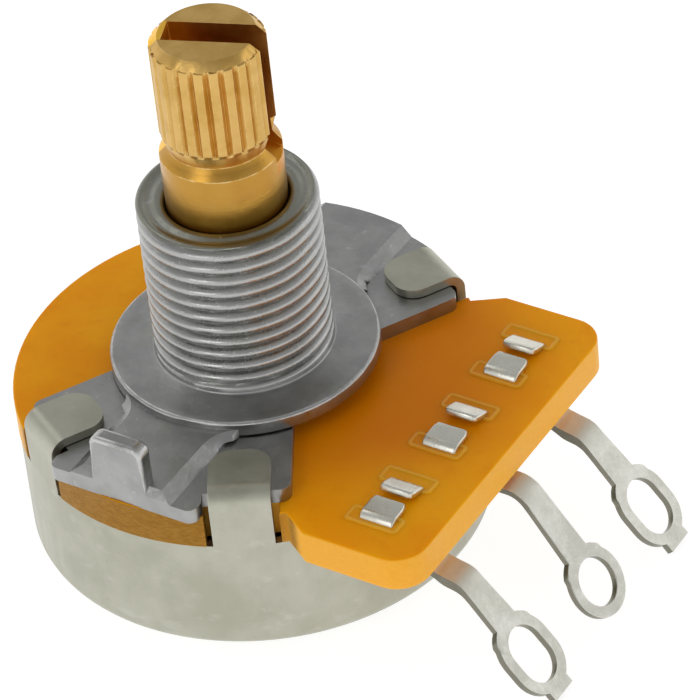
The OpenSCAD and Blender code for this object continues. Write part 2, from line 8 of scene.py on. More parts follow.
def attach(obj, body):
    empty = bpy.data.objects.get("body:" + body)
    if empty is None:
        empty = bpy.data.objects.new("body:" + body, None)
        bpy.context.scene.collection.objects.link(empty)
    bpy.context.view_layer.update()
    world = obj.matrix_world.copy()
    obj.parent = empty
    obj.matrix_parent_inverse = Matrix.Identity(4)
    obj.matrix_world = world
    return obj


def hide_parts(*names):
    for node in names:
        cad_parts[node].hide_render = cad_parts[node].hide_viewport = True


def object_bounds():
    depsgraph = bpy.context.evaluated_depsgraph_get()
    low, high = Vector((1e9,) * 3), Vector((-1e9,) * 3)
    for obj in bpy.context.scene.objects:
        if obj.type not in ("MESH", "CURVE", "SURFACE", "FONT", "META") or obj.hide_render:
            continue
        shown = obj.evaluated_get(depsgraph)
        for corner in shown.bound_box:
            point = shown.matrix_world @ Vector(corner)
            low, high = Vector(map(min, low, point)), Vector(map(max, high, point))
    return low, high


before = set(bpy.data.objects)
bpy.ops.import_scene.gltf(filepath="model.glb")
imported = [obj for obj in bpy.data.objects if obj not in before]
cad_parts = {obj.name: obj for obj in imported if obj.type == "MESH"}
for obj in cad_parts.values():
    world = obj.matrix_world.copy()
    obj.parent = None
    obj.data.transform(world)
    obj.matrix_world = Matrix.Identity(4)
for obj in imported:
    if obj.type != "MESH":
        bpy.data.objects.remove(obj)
cad_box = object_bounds()

# Sizes are in millimetres, as in the part's drawing, and MM turns them into metres.
MM = 0.001
MERGE = 0.002 * MM

# Shaft
SPLINE_LOW = 13.8
TIP_TOP = 19.6
SLOT_TURN = -70
SLOT_HALF = 0.8

# Casting
THREAD_R = 4.7625
THREAD_PITCH = 0.794
THREAD_DEPTH = 0.50
THREAD_START = 0.3
THREAD_RINGS = 16
THREAD_STEPS = 144
BUSHING_TOP = 9.5
TOP_CHAMFER = 0.2
BORE_R = 3.215
SPIGOT_R = 4.3
SPIGOT_LOW = -2.65
COLLAR_R = 7.15
COLLAR_INSIDE_R = 6.5
FILLET_X, FILLET_Y, FILLET_Z = 8.0225, 4.4, -0.9

# Element board, with the resin lips round its slots
BOARD_TOP = -1.75
BOARD_LOW = -3.75
CLINCH_Y = -12.5
LUG_PITCH = 6.35
LIP_OFFSET = 1.70
LIP_HALF = (0.63, 1.58)
LIP_CORNER = 0.3
LIP_SINK = 0.3
LIP_RIM = ((0.07, 0.07), (0.06, 0.02), (0.07, -0.02), (0.06, -0.05))

# Tangs, which are raised from a cut inside the slots and curled over
TANG_CUT_Z = -2.25
TANG_SET = 0.22
TANG_WIDTH = 0.86
TANG_RISE = 0.32
TANG_CURL_R = 0.36
TANG_STEPS = 6
TANG_TIP = ((0.6, 1.0), (0.28, 0.94), (0.12, 0.80))

# Lugs: the rounding of the rim, the slope of the eye's plane in degrees, the eye's middle as
# (y, z), the radius and stretch of its hole, and the bend where the lug is set down, as (first,
# low, last, depth). A last of 0 means that it stays down.
OUTER_LUG = {
    "rim": 0.14, "slope": 48, "eye": (-20.22, -9.31), "hole": 1.15, "stretch": 0.9,
    "bend": (-13.7, -15.2, -16.95, 1.08),
}
CENTRE_LUG = {
    "rim": 0.07, "slope": 53, "eye": (-20.56, -8.99), "hole": 1.28, "stretch": 0,
    "bend": (-13.9, 0, 0, 0.38),
}
STRAP_START = -13.7
STRAP_END = -18.6
STRAP_HALF = 0.95
STRAP_SLIMMER = 0.13
STRAP_CUTS = 24
STRAP_CUT_STEP = 0.15

# Back cover
CUP_R = 12.45
TAB_W = 3.2
TAB_ANGLE = 30
TAB_BLEND_TOP = -2.7

# Studio, with the camera's angles in degrees and its focal length in the photograph's pixels
PHOTO_TURN, PHOTO_RISE, PHOTO_ROLL = -55.2, 38.8, -6.32
PHOTO_FOCAL = 4900
PHOTO_WIDTH = 700
PHOTO_AWAY = (-5.524, -0.722, 257.4)
SENSOR = 36
LAMP_DISTANCE = 0.40


# Mesh helpers

def merged_copy(node):
    """A copy of a CAD node's mesh with its points merged and its flat areas made whole."""
    bm = bmesh.new()
    bm.from_mesh(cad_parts[node].data)
    bmesh.ops.remove_doubles(bm, verts=bm.verts, dist=MERGE)
    bmesh.ops.dissolve_limit(
        bm, angle_limit=math.radians(0.4), verts=bm.verts, edges=bm.edges,
        use_dissolve_boundaries=False,
    )
    bmesh.ops.recalc_face_normals(bm, faces=bm.faces)
    return bm


def from_axis(point):
    """Distance from the shaft's axis, in the point's own unit."""
    return math.hypot(point.x, point.y)


def radius(point):
    """Distance of a mesh point from the shaft's axis, in millimetres."""
    return from_axis(point) / MM


def smooth_step(share):
    """Turns an even run from 0 to 1 into one that starts and ends softly."""
    return share * share * (3 - 2 * share)


def clamped(share):
    return min(max(share, 0), 1)


def edge_middle(edge):
    """The middle of an edge, in millimetres."""
    return (edge.verts[0].co + edge.verts[1].co) / 2 / MM


def whole(bm):
    return bm.verts[:] + bm.edges[:] + bm.faces[:]


def cut_level(bm, point, normal, clear=False):
    """Cuts a mesh at a plane, and with clear takes away what is on the normal's side."""
    bmesh.ops.bisect_plane(
        bm, geom=whole(bm), dist=1e-7, plane_co=Vector(point) * MM, plane_no=normal,
        clear_outer=clear,
    )


def corners(bm, above=35, where=None):
    """The edges that turn by more than an angle, in degrees, and lie where the test says."""
    if not bm.faces.layers.float.get("worn"):
        bm.faces.layers.float.new("worn")
    return [
        e for e in bm.edges
        if len(e.link_faces) == 2 and e.calc_face_angle(0) > math.radians(above)
        and (where is None or where(edge_middle(e)))
    ]


def ease(bm, edges, width, segments=2):
    """Rounds edges to a width in millimetres and marks the rounded strips as worn."""
    worn = bm.faces.layers.float["worn"]
    made = bmesh.ops.bevel(
        bm, geom=edges, offset=width * MM, offset_type="OFFSET", segments=segments, profile=0.5,
        affect="EDGES", material=-1, clamp_overlap=True, loop_slide=True,
    )
    for face in made["faces"]:
        face[worn] = 1.0


def make_piece(bm, name, body, material, replaces, crease=40):
    """Turns a finished bmesh into a piece of the scene that rides on a body."""
    for face in bm.faces:
        face.smooth = True
    for edge in bm.edges:
        sharp = len(edge.link_faces) == 2 and edge.calc_face_angle(0) > math.radians(crease)
        edge.smooth = not sharp
    mesh = bpy.data.meshes.new(name)
    bm.to_mesh(mesh)
    bm.free()
    custom = mesh.attributes.get("custom_normal")
    if custom:
        mesh.attributes.remove(custom)
    mesh.materials.clear()
    mesh.materials.append(material)
    for polygon in mesh.polygons:
        polygon.material_index = 0
    piece = bpy.data.objects.new(name, mesh)
    bpy.context.scene.collection.objects.link(piece)
    modifier = piece.modifiers.new("weighted_normals", "WEIGHTED_NORMAL")
    modifier.keep_sharp = True
    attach(piece, body)
    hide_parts(*replaces)
    return piece


# Material helpers

class Finish:
    """A procedural finish under construction: a Principled shader and the nodes that feed it."""

    def __init__(self, name, **constants):
        self.material = bpy.data.materials.new(name)
        self.material.use_nodes = True
        self.nodes = self.material.node_tree.nodes
        self.links = self.material.node_tree.links
        self.shader = self.nodes["Principled BSDF"]
        for socket, value in constants.items():
            self.shader.inputs[socket.replace("_", " ")].default_value = value
        coordinates = self.nodes.new("ShaderNodeTexCoord")
        self.place = coordinates.outputs["Object"]
        self.normal = coordinates.outputs["Normal"]

    def feed(self, socket, value):
        """Links a node's output to a socket, or sets the socket to a constant."""
        if isinstance(value, bpy.types.NodeSocket):
            self.links.new(value, socket)
        else:
            socket.default_value = value

    def to(self, socket, value):
        self.feed(self.shader.inputs[socket], value)

    def math(self, operation, a, b=0.0):
        node = self.nodes.new("ShaderNodeMath")
        node.operation = operation
        for socket, value in zip(node.inputs, (a, b)):
            self.feed(socket, value)
        return node.outputs[0]

    def times(self, a, b):
        return self.math("MULTIPLY", a, b)

    def parts(self, a, share, b):
        """So large a share of one value, and the rest of another."""
        return self.math("ADD", self.times(a, share), self.times(b, 1 - share))

    def stretch(self, scale=(1, 1, 1), turn=(0, 0, 0), shift=(0, 0, 0)):
        """The place on the piece, moved, turned and stretched."""
        node = self.nodes.new("ShaderNodeMapping")
        self.feed(node.inputs["Vector"], self.place)
        node.inputs["Location"].default_value = shift
        node.inputs["Rotation"].default_value = [math.radians(a) for a in turn]
        node.inputs["Scale"].default_value = scale
        return node.outputs[0]

    def noise(self, size, detail=3.0, roughness=0.55, vector=None, distortion=0.0):
        """Clouds whose features are about so many millimetres across."""
        node = self.nodes.new("ShaderNodeTexNoise")
        self.feed(node.inputs["Vector"], vector or self.place)
        node.inputs["Scale"].default_value = 1 / (size * MM)
        node.inputs["Detail"].default_value = detail
        node.inputs["Roughness"].default_value = roughness
        node.inputs["Distortion"].default_value = distortion
        return node.outputs[0]

    def specks(self, size):
        """Distance to the nearest of points scattered so many millimetres apart."""
        node = self.nodes.new("ShaderNodeTexVoronoi")
        self.feed(node.inputs["Vector"], self.place)
        node.inputs["Scale"].default_value = 1 / (size * MM)
        return node.outputs["Distance"]

    def span(self, value, low, high, out_low=0.0, out_high=1.0):
        """Maps a value from one range to another and clamps it, with a smooth run between them."""
        node = self.nodes.new("ShaderNodeMapRange")
        node.interpolation_type = "SMOOTHSTEP"
        for socket, number in zip(node.inputs, (value, low, high, out_low, out_high)):
            self.feed(socket, number)
        return node.outputs[0]

    def rise(self, value, low, high, top=1.0):
        """0 below one place and full above another, with both given in millimetres."""
        return self.span(value, low * MM, high * MM, 0.0, top)

    def fall(self, value, low, high, top=1.0):
        """Full below one place and 0 above another, with both given in millimetres."""
        return self.span(value, low * MM, high * MM, top, 0.0)

    def blend(self, share, a, b):
        """Mixes two colours."""
        node = self.nodes.new("ShaderNodeMix")
        node.data_type = "RGBA"
        self.feed(node.inputs["Factor"], share)
        for socket, value in zip((node.inputs[6], node.inputs[7]), (a, b)):
            self.feed(socket, (*value, 1) if isinstance(value, tuple) else value)
        return node.outputs[2]

    def axes(self, vector=None):
        """The three parts of a place or a direction."""
        node = self.nodes.new("ShaderNodeSeparateXYZ")
        self.feed(node.inputs[0], vector or self.place)
        return node.outputs

    def combine(self, x=0.0, y=0.0, z=0.0):
        node = self.nodes.new("ShaderNodeCombineXYZ")
        for socket, value in zip(node.inputs, (x, y, z)):
            self.feed(socket, value)
        return node.outputs[0]

    def distance(self, vector, centre=(0, 0, 0)):
        node = self.nodes.new("ShaderNodeVectorMath")
        node.operation = "DISTANCE"
        self.feed(node.inputs[0], vector)
        self.feed(node.inputs[1], centre)
        return node.outputs["Value"]

    def from_axis(self):
        """Distance from the shaft's axis."""
        x, y, z = self.axes()
        return self.distance(self.combine(x, y))

    def worn(self, size, share):
        """The rounded edges of a piece, rubbed bright in patches of so many millimetres."""
        node = self.nodes.new("ShaderNodeAttribute")
        node.attribute_name = "worn"
        patches = self.span(self.noise(size, 4, 0.65), 0.36, 0.62)
        return self.times(self.times(node.outputs["Fac"], patches), share)

    def relief(self, *layers):
        """Bump layers, each a height and its full depth in millimetres."""
        normal = None
        for height, depth in layers:
            node = self.nodes.new("ShaderNodeBump")
            node.inputs["Strength"].default_value = 1.0
            node.inputs["Distance"].default_value = depth * MM
            self.feed(node.inputs["Height"], height)
            if normal:
                self.feed(node.inputs["Normal"], normal)
            normal = node.outputs[0]
        self.to("Normal", normal)


# Materials

def turned_brass():
    f = Finish("turned_brass", Metallic=1.0)
    z = f.axes()[2]
    # Radius and height alone make a pattern run in rings, as turning marks do.
    rings = f.combine(f.from_axis(), 0.0, z)
    fine = f.noise(0.10, 2, 0.6, rings)
    broad = f.noise(0.9, 2, 0.5, rings)
    cloud = f.noise(1.6, 4, 0.6)
    nick = f.span(f.specks(0.9), 0.0, 0.09, 1.0, 0.0)
    tone = f.blend(f.span(cloud, 0.35, 0.68), (0.58, 0.355, 0.095), (0.69, 0.445, 0.145))
    # Painted reflection: the journal below the splines is darkened as if it mirrored the casting.
    tone = f.blend(f.fall(z, 13.1, 13.8, 0.75), tone, (0.48, 0.245, 0.034))
    # Painted shade darkens the walls of the slot, and a painted pool of light brightens its blind
    # end.
    turned = f.axes(f.stretch(turn=(0, 0, -SLOT_TURN)))
    in_slot = f.fall(f.math("ABSOLUTE", turned[1]), SLOT_HALF - 0.04, SLOT_HALF + 0.04)
    in_slot = f.times(in_slot, f.rise(z, 11.2, 11.6))
    tone = f.blend(f.times(in_slot, 0.85), tone, (0.60, 0.235, 0.012))
    lit_blind_end = f.times(in_slot, f.fall(turned[0], -1.6, -0.8))
    tone = f.blend(f.times(lit_blind_end, 0.9), tone, (0.98, 0.58, 0.06))
    # Painted shade: the journal is darkened just above the bushing's mouth.
    tone = f.blend(f.fall(z, 9.4, 10.7, 0.55), tone, (0.34, 0.17, 0.012))
    tone = f.blend(f.worn(0.8, 0.6), tone, (0.90, 0.68, 0.33))
    tone = f.blend(f.times(nick, 0.4), tone, (0.30, 0.15, 0.03))
    f.to("Base Color", tone)
    f.to("Roughness", f.span(f.parts(cloud, 0.6, fine), 0.3, 0.7, 0.26, 0.40))
    f.relief((broad, 0.008), (fine, 0.005), (f.noise(0.45, 4, 0.6), 0.010), (nick, -0.010))
    return f.material


def cast_zinc():
    f = Finish("cast_zinc", Metallic=1.0)
    skin = f.noise(0.28, 4, 0.6)
    cloud = f.noise(2.6, 4, 0.6)
    swirl = f.noise(1.3, 3, 0.5, distortion=1.2)
    scuff = f.span(f.noise(0.5, 5, 0.7), 0.60, 0.74)
    pit = f.span(f.specks(0.55), 0.0, 0.09, 1.0, 0.0)
    stain = f.span(f.noise(1.9, 3, 0.6, f.stretch(shift=(0.02, 0.03, 0.01))), 0.52, 0.66)
    tone = f.blend(f.span(cloud, 0.32, 0.68), (0.32, 0.325, 0.32), (0.395, 0.397, 0.392))
    tone = f.blend(f.times(stain, 0.3), tone, (0.30, 0.305, 0.25))
    z = f.axes()[2]
    bushing = f.fall(f.from_axis(), 4.9, 5.1)
    shank = f.times(f.times(bushing, f.rise(z, 0.1, 0.3)), f.fall(z, 9.2, 9.4))
    mouth = f.times(bushing, f.rise(z, 9.2, 9.4))
    # Painted shade darkens the rim's bead and the mouth inside it to a greenish grey.
    tone = f.blend(f.times(mouth, 0.65), tone, (0.215, 0.22, 0.165))
    tone = f.blend(f.times(shank, 0.50), tone, (0.50, 0.505, 0.49))
    # Painted glints: bright spots on the thread, mixed below with the real scuffs.
    painted_glints = f.times(shank, f.span(f.noise(0.22, 3, 0.7), 0.60, 0.72))
    tone = f.blend(f.times(f.math("MAXIMUM", scuff, painted_glints), 0.38), tone, (0.74, 0.74, 0.73))
    tone = f.blend(f.worn(1.5, 0.55), tone, (0.72, 0.72, 0.71))
    tone = f.blend(f.times(pit, 0.35), tone, (0.18, 0.18, 0.18))
    f.to("Base Color", tone)
    rough = f.span(f.parts(skin, 0.4, swirl), 0.3, 0.7, 0.27, 0.42)
    f.to("Roughness", f.math("SUBTRACT", rough, f.times(shank, 0.04)))
    f.relief(
        (swirl, 0.018), (skin, 0.010), (pit, -0.010), (scuff, 0.005), (f.times(painted_glints, shank), 0.010)
    )
    return f.material


def tin_plate():
    f = Finish("tin_plate", Metallic=1.0)
    cloud = f.noise(3.5, 5, 0.6)
    drawn = f.noise(0.6, 4, 0.6, f.stretch((1, 1, 0.12)))
    rub = f.span(f.noise(0.9, 4, 0.65, f.stretch((1, 0.4, 1), (20, 35, 15))), 0.56, 0.72)
    where = f.span(f.noise(2.6, 3, 0.6, f.stretch(shift=(0.01, 0.02, 0.03))), 0.50, 0.66)
    fleck = f.times(f.span(f.noise(0.38, 3, 0.6), 0.58, 0.74), where)
    tone = f.blend(f.span(cloud, 0.33, 0.67), (0.395, 0.392, 0.315), (0.475, 0.472, 0.395))
    tone = f.blend(f.times(fleck, 0.30), tone, (0.28, 0.28, 0.22))
    tone = f.blend(f.times(rub, 0.22), tone, (0.66, 0.66, 0.60))
    tone = f.blend(f.worn(1.4, 0.8), tone, (0.86, 0.85, 0.77))
    f.to("Base Color", tone)
    f.to("Roughness", f.span(f.parts(cloud, 0.5, drawn), 0.3, 0.7, 0.30, 0.44))
    f.relief((cloud, 0.025), (drawn, 0.006), (f.noise(0.16, 3, 0.6), 0.003), (fleck, -0.003))
    return f.material


def tinned_brass():
    f = Finish("tinned_brass", Metallic=1.0)
    flow = f.noise(1.1, 3, 0.55, distortion=0.8)
    skin = f.noise(0.22, 3, 0.6)
    dull = f.span(f.noise(1.7, 4, 0.6), 0.38, 0.66)
    fleck = f.span(f.noise(0.34, 4, 0.7, f.stretch(shift=(0.02, 0.01, 0))), 0.66, 0.76)
    y = f.axes()[1]
    tone = f.blend(dull, (0.47, 0.467, 0.415), (0.56, 0.556, 0.51))
    tone = f.blend(f.times(fleck, 0.15), tone, (0.40, 0.39, 0.34))
    tone = f.blend(f.worn(1.0, 0.5), tone, (0.80, 0.79, 0.74))
    bend = f.times(f.rise(y, -17.8, -16.5), f.fall(y, -14.5, -14.0))
    bright = f.math("MAXIMUM", bend, f.rise(y, -14.5, -14.0))
    tone = f.blend(bright, tone, (0.70, 0.69, 0.615))
    # Painted shade darkens the cut sides of the lugs against their faces, which lean with the outer
    # eyes.
    direction = f.axes(f.normal)
    lean = math.radians(OUTER_LUG["slope"])
    facing = f.math(
        "ADD", f.times(direction[1], -math.sin(lean)), f.times(direction[2], math.cos(lean))
    )
    shaded_side = f.span(f.math("ABSOLUTE", facing), 0.20, 0.55, 0.85, 0.0)
    tone = f.blend(f.times(shaded_side, f.fall(y, -14.2, -13.7)), tone, (0.17, 0.165, 0.125))
    f.to("Base Color", tone)
    rough = f.span(f.parts(flow, 0.5, skin), 0.3, 0.7, 0.22, 0.36)
    f.to("Roughness", f.math("ADD", rough, f.times(bend, 0.35)))
    f.relief((flow, 0.024), (skin, 0.004), (fleck, -0.003))
    return f.material


def orange_board():
    f = Finish("orange_board", Metallic=0.0, IOR=1.5)
    f.shader.inputs["Specular IOR Level"].default_value = 0.22
    f.shader.inputs["Specular Tint"].default_value = (1.0, 0.62, 0.12, 1)
    f.shader.inputs["Subsurface Weight"].default_value = 0.25
    f.shader.inputs["Subsurface Radius"].default_value = (1.2, 0.45, 0.08)
    f.shader.inputs["Subsurface Scale"].default_value = 0.8 * MM
    x, y, z = f.axes()
    cloud = f.noise(4.5, 3, 0.5)
    fibre = f.noise(0.35, 4, 0.65, f.stretch((1, 1, 3.0)))
    mottle = f.noise(0.9, 4, 0.6)
    # Painted shade and reflection: the board darkens towards the casting.
    shade_near_casting = f.fall(f.distance(f.combine(x, y), (0.002, -0.004, 0)), 6.5, 13.5)
    body = f.blend(f.span(cloud, 0.35, 0.65), (0.96, 0.345, 0.001), (1.0, 0.41, 0.003))
    body = f.blend(f.times(shade_near_casting, 0.78), body, (0.66, 0.165, 0.0005))
    body = f.blend(f.span(mottle, 0.5, 0.75, 0.0, 0.18), body, (0.70, 0.20, 0.001))
    raised = f.rise(z, BOARD_TOP + 0.02, BOARD_TOP + 0.10, 0.30)
    body = f.blend(raised, body, (0.98, 0.56, 0.13))
    side = f.span(f.math("ABSOLUTE", f.axes(f.normal)[2]), 0.25, 0.80, 1.0, 0.0)
    cut = f.blend(f.span(fibre, 0.35, 0.65), (0.84, 0.41, 0.045), (0.88, 0.45, 0.060))
    body = f.blend(f.times(side, 0.85), body, cut)
    # Painted shade: the board's edge behind the plate's ends is darkened to brown.
    behind = f.times(f.rise(f.math("ABSOLUTE", x), 9.0, 10.0), f.rise(y, -9.5, -8.5))
    painted_shade_brown = f.blend(f.span(fibre, 0.35, 0.65), (0.27, 0.125, 0.014), (0.36, 0.175, 0.026))
    body = f.blend(f.times(behind, side), body, painted_shade_brown)
    f.to("Base Color", body)
    f.to("Roughness", f.math("ADD", f.span(cloud, 0.3, 0.7, 0.28, 0.38), f.times(side, 0.12)))
    f.relief((cloud, 0.03), (mottle, 0.010), (f.times(fibre, side), 0.008))
    return f.material


def carbon_ink():
    f = Finish("carbon_ink", Metallic=0.0)
    grain = f.noise(0.12, 4, 0.7)
    f.to("Base Color", f.blend(grain, (0.012, 0.012, 0.014), (0.035, 0.034, 0.036)))
    f.to("Roughness", f.span(grain, 0.3, 0.7, 0.42, 0.66))
    f.relief((grain, 0.004))
    return f.material


def silver_ink():
    f = Finish("silver_ink", Metallic=1.0)
    grain = f.noise(0.1, 4, 0.7)
    f.to("Base Color", f.blend(grain, (0.50, 0.49, 0.46), (0.72, 0.71, 0.68)))
    f.to("Roughness", f.span(grain, 0.3, 0.7, 0.45, 0.62))
    f.relief((grain, 0.005))
    return f.material


def rotor_moulding():
    f = Finish("rotor_moulding", Metallic=0.0, IOR=1.5)
    flow = f.noise(1.6, 4, 0.6, distortion=2.0)
    grain = f.noise(0.15, 3, 0.6)
    swirls = f.span(flow, 0.35, 0.65)
    f.to("Base Color", f.blend(swirls, (0.030, 0.018, 0.012), (0.065, 0.038, 0.024)))
    f.to("Roughness", f.span(grain, 0.3, 0.7, 0.38, 0.55))
    f.relief((flow, 0.012), (grain, 0.004))
    return f.material


def spring_metal(name, low, high, rough):
    """Rolled strip or wire, from its darker and lighter tone and its middle roughness."""
    f = Finish(name, Metallic=1.0)
    rolled = f.noise(0.25, 3, 0.6, f.stretch((0.12, 1, 1)))
    cloud = f.noise(1.2, 3, 0.6)
    f.to("Base Color", f.blend(f.span(cloud, 0.35, 0.65), low, high))
    f.to("Roughness", f.span(rolled, 0.3, 0.7, rough - 0.05, rough + 0.07))
    f.relief((rolled, 0.003), (cloud, 0.006))
    return f.material


brass = turned_brass()
zinc = cast_zinc()
tin = tin_plate()
lug_tin = tinned_brass()
board_orange = orange_board()

SPRING_BRONZE = ("spring_bronze", (0.55, 0.33, 0.15), (0.70, 0.45, 0.22), 0.30)
SPRING_STEEL = ("spring_steel", (0.36, 0.37, 0.38), (0.48, 0.49, 0.50), 0.32)
RING_STEEL = ("ring_steel", (0.30, 0.31, 0.32), (0.42, 0.43, 0.44), 0.36)

# The hidden pieces keep the solids' own meshes.
for node, finish in (
    ("resistive_track", carbon_ink()),
    ("end_pad_left", silver_ink()),
    ("end_pad_right", silver_ink()),
    ("rotor", rotor_moulding()),
    ("wiper", spring_metal(*SPRING_BRONZE)),
    ("spring_washer", spring_metal(*SPRING_STEEL)),
    ("retaining_ring", spring_metal(*RING_STEEL)),
):
    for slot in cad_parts[node].material_slots:
        slot.material = finish


# Shaft

def close_grooves(bm):
    """Runs the grooves between the splines out before both ends of the tip, as rolls leave them."""
    for z in (SPLINE_LOW + 0.22, TIP_TOP - 0.95):
        cut_level(bm, (0, 0, z), (0, 0, 1))
    turn = math.radians(SLOT_TURN)
    across = Vector((-math.sin(turn), math.cos(turn), 0))
    for v in bm.verts:
        r, z = radius(v.co), v.co.z / MM
        if abs(across.dot(v.co)) / MM < SLOT_HALF + 0.03:
            continue
        if SPLINE_LOW < z < TIP_TOP - 0.6 and r < 2.75:
            v.co.x *= 2.76 / r
            v.co.y *= 2.76 / r
        if TIP_TOP - 0.5 < z < TIP_TOP - 0.1 and r < 2.9:
            v.co = Vector((v.co.x * 2.90 / r, v.co.y * 2.90 / r, (z - 0.24) * MM))
        elif abs(z - SPLINE_LOW) < 0.05 and 2.6 < r < 2.9:
            v.co.x *= 2.95 / r
            v.co.y *= 2.95 / r


def shaft():
    bm = merged_copy("shaft")
    close_grooves(bm)
    ease(bm, corners(bm, 24, lambda p: p.z > 13.7), 0.13, 3)
    ease(bm, corners(bm, 24, lambda p: p.z < 13.2), 0.05, 2)
    make_piece(bm, "turned_shaft", "rotor_group", brass, ["shaft"])


# Casting

def groove_share(turns):
    """How far into the groove a point is, from 0 on a crest to 1 at the root."""
    return abs(2 * (turns % 1.0) - 1) ** 2.8


def cut_thread(verts):
    """Moves the shank's outside inward to a right-hand thread that fades out at its foot."""
    for v in verts:
        r, z = radius(v.co), v.co.z / MM
        if r < BORE_R + 1.3 or not THREAD_START - 0.01 < z < BUSHING_TOP - 0.02:
            continue
        angle = math.atan2(v.co.y, v.co.x) / (2 * math.pi)
        fade = clamped((z - THREAD_START) / 0.3)
        root = THREAD_R - THREAD_DEPTH * groove_share(z / THREAD_PITCH - angle) * fade
        scale = min(r, root) / r
        v.co.x *= scale
        v.co.y *= scale


def shank_profile():
    """Radius and height of the points down the shank, over its mouth and down its bore."""
    points = [(COLLAR_INSIDE_R, 0), (4.86, 0.0), (4.79, 0.03), (THREAD_R, 0.10)]
    height = BUSHING_TOP - TOP_CHAMFER - THREAD_START
    rings = round(height / THREAD_PITCH * THREAD_RINGS)
    points += [(THREAD_R, THREAD_START + i * height / rings) for i in range(rings + 1)]
    # The rim's bead and the mouth inside it, as a radius and a drop from the top.
    bead = [
        (4.73, 0.11), (4.66, 0.04), (4.54, 0.0), (4.40, 0.02), (4.30, 0.07), (4.20, 0.13),
        (4.05, 0.15),
    ]
    mouth = [
        (3.93, 0.12), (3.82, 0.05), (3.70, 0.02), (3.56, 0.02), (3.44, 0.05), (3.33, 0.12),
        (3.25, 0.24), (BORE_R, 0.4),
    ]
    points += [(r, BUSHING_TOP - drop) for r, drop in bead + mouth]
    points += [(BORE_R, 4), (BORE_R, SPIGOT_LOW + 0.05), (BORE_R + 0.05, SPIGOT_LOW)]
    return points + [(SPIGOT_R, SPIGOT_LOW)]


def spun(bm, points, steps):
    """Spins an open line of (radius, height) points once about the axis and returns its points."""
    line = [bm.verts.new((r * MM, 0, z * MM)) for r, z in points]
    edges = [bm.edges.new(pair) for pair in zip(line, line[1:])]
    before = set(bm.verts) - set(line)
    bmesh.ops.spin(
        bm, geom=line + edges, cent=(0, 0, 0), axis=(0, 0, 1), angle=2 * math.pi, steps=steps,
        use_merge=True,
    )
    return [v for v in bm.verts if v not in before]


def open_loop(bm, z):
    """The open edges of a mesh at a height."""
    return [e for e in bm.edges if e.is_boundary and abs(edge_middle(e).z - z) < 0.01]


def sink_bar_fillets(bm):
    """Lets the slope of each fillet between bar and collar steepen until it ends in the collar."""
    for x_side in (-1, 1):
        for y_side in (-1, 1):
            centre = Vector((x_side * FILLET_X, y_side * FILLET_Y))
            for v in bm.verts:
                p = v.co.xy / MM - centre
                if not 1.2 < p.length < 1.5 or abs(v.co.z / MM - FILLET_Z) > 0.02:
                    continue
                share = 1 - min(math.degrees(p.angle(-centre)) / 62, 1)
                p *= 1 + 0.67 * smooth_step(share) / p.length
                v.co.x, v.co.y = (centre + p) * MM


def casting():
    """The casting, with the shank, its mouth and bore and the collar's top spun anew."""
    bm = merged_copy("bushing_plate")
    sink_bar_fillets(bm)

    def collar_rim(p):
        return abs(from_axis(p) - COLLAR_R) < 0.16 and -0.2 < p.z < 0.05

    def ear(p):
        return p.x < -10.5 and p.z > -0.35

    def rest(p):
        shank = from_axis(p) < 6.9 and p.z > -0.01 or from_axis(p) < 4.0
        collar = from_axis(p) < COLLAR_R + 0.05 and p.z > -0.25
        return not (ear(p) or shank or collar)

    ease(bm, corners(bm, 30, collar_rim), 0.05, 2)
    ease(bm, corners(bm, 40, ear), 0.26, 4)
    ease(bm, corners(bm, 22, rest), 0.13, 3)
    gone = [
        f for f in bm.faces
        if all(radius(v.co) < 7.1 and v.co.z > -0.005 * MM for v in f.verts)
        or all(radius(v.co) < 3.9 for v in f.verts)
        or all(radius(v.co) < 4.6 and v.co.z < (SPIGOT_LOW + 0.005) * MM for v in f.verts)
    ]
    bmesh.ops.delete(bm, geom=gone, context="FACES")
    cut_thread(spun(bm, shank_profile(), THREAD_STEPS))
    for z in (0, SPIGOT_LOW):
        bmesh.ops.triangle_fill(bm, use_beauty=True, edges=open_loop(bm, z))
    bmesh.ops.recalc_face_normals(bm, faces=bm.faces)
    make_piece(bm, "die_casting", "housing", zinc, ["bushing_plate"], crease=50)


# Element board

def lip(bm, x, y):
    """A low pad of board resin that is squeezed up round a tang, with a raised rim."""
    before = set(bm.faces)
    made = bmesh.ops.create_grid(bm, x_segments=1, y_segments=1, size=MM)["verts"]
    bmesh.ops.scale(bm, verts=made, vec=(*LIP_HALF, 1))
    bmesh.ops.translate(bm, verts=made, vec=(x * MM, y * MM, (BOARD_TOP - LIP_SINK) * MM))
    bmesh.ops.bevel(
        bm, geom=made, offset=LIP_CORNER * MM, offset_type="OFFSET", segments=4, profile=0.5,
        affect="VERTICES", material=-1, clamp_overlap=True,
    )
    base = [f for f in bm.faces if f not in before]
    top = bmesh.ops.extrude_face_region(bm, geom=base)["geom"]
    face = next(g for g in top if isinstance(g, bmesh.types.BMFace))
    bmesh.ops.translate(bm, verts=face.verts[:], vec=(0, 0, (LIP_SINK + 0.02) * MM))
    for width, rise in LIP_RIM:
        bmesh.ops.inset_region(
            bm, faces=[face], thickness=width * MM, depth=0, use_even_offset=True
        )
        bmesh.ops.translate(bm, verts=face.verts[:], vec=(0, 0, rise * MM))


